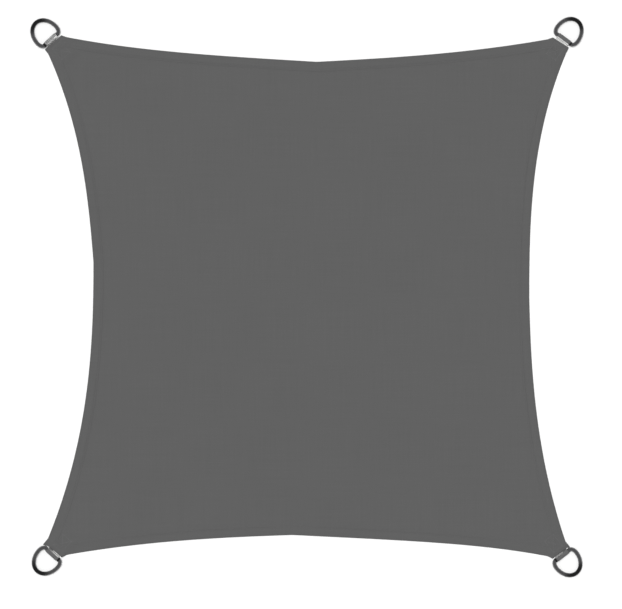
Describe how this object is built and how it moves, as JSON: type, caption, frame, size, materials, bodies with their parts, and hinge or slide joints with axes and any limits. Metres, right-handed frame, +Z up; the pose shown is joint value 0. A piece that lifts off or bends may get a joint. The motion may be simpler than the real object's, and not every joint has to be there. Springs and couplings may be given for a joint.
{
  "type": "shade sail",
  "caption": "Square fabric shade sail with hollow-cut hemmed edges and a steel D-ring in a webbing loop at each corner, laid out flat; hung by its rings to shade a terrace.",
  "frame": {"origin": "on the surface the sail lies on, under the middle of its bounding box", "axes": "+Z up, out of the sail's face; +X along the bottom edge to the right and +Y towards the top edge, as the sail is seen face on"},
  "size_m": [1.9912, 2.0166, 0.0183],
  "materials": {
    "cloth": "matt plain-weave polyester, mid-dark neutral grey",
    "webbing": "ribbed polyester webbing in the cloth's grey",
    "ring_steel": "polished steel, dark nickel tone"
  },
  "bodies": {
    "root": {"sail_cloth": "cloth", "loop_bottom_left": "webbing", "loop_bottom_right": "webbing", "loop_top_right": "webbing", "loop_top_left": "webbing", "ring_bottom_left": "ring_steel", "ring_bottom_right": "ring_steel", "ring_top_right": "ring_steel", "ring_top_left": "ring_steel"}
  },
  "joints": []
}
